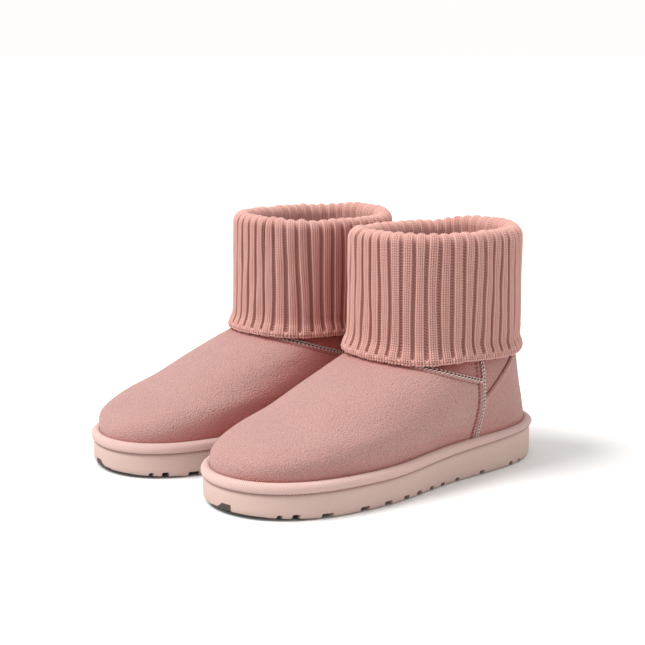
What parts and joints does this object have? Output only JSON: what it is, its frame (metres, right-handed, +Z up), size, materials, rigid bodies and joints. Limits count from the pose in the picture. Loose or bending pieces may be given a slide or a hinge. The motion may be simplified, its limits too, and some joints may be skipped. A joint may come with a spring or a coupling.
{
  "type": "baby boots",
  "caption": "Pair of soft ankle boots for a baby, with turned-down rib-knit cuffs and thick notched foam soles.",
  "frame": {"origin": "middle of the pair's box, on the floor", "axes": "+Z up, toes towards -Y, left boot at +X"},
  "size_m": [0.1276, 0.1462, 0.0883],
  "materials": {
    "sole_foam": "matte moulded foam",
    "welt_twill": "diagonal twill over padding",
    "board": "pressed leatherboard",
    "fleece": "short fleece pile",
    "stiffener": "thermoplastic felt",
    "suede": "fine-grained nubuck",
    "thread": "twisted polyester thread",
    "knit": "soft rib knit"
  },
  "bodies": {
    "left_boot": {"left_outsole": "sole_foam", "left_welt": "welt_twill", "left_insole_board": "board", "left_footbed": "fleece", "left_lining": "fleece", "left_toe_puff": "stiffener", "left_heel_stiffener": "stiffener", "left_vamp": "suede", "left_shaft_front": "suede", "left_heel_counter": "suede", "left_shaft_back": "suede", "left_outer_side_seam": "thread", "left_inner_side_seam": "thread", "left_vamp_seam": "thread", "left_knit_cuff": "knit"},
    "right_boot": {"right_outsole": "sole_foam", "right_welt": "welt_twill", "right_insole_board": "board", "right_footbed": "fleece", "right_lining": "fleece", "right_toe_puff": "stiffener", "right_heel_stiffener": "stiffener", "right_vamp": "suede", "right_shaft_front": "suede", "right_heel_counter": "suede", "right_shaft_back": "suede", "right_outer_side_seam": "thread", "right_inner_side_seam": "thread", "right_vamp_seam": "thread", "right_knit_cuff": "knit"}
  },
  "joints": [
    {"name": "lift_right_boot", "type": "slide", "parent": "left_boot", "child": "right_boot", "axis": [0, 0, 1], "range_m": [0, 0.12]}
  ]
}
